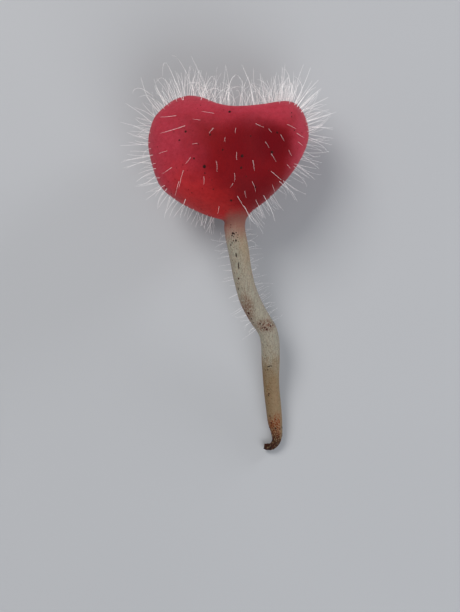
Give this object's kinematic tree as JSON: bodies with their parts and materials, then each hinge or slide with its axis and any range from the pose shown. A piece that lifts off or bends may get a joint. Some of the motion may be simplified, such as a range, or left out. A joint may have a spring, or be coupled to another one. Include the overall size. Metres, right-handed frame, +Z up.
{
  "type": "bristly tropical cup fungus",
  "caption": "Small red cup fungus with white bristles and a pale bent stalk, as picked, lying on its back.",
  "frame": {"origin": "middle of the flat spot under the cup, on the surface it lies on, 0.1 mm below the spot", "axes": "+Z up from the surface it lies on, +Y along the cup's axis towards its mouth, the stalk running towards -Y"},
  "size_m": [0.0293, 0.0536, 0.0183],
  "materials": {
    "flesh": "velvety",
    "stalk": "satin",
    "bristle": "matte"
  },
  "bodies": {
    "root": {"fruit_body": "flesh"}
  },
  "joints": []
}
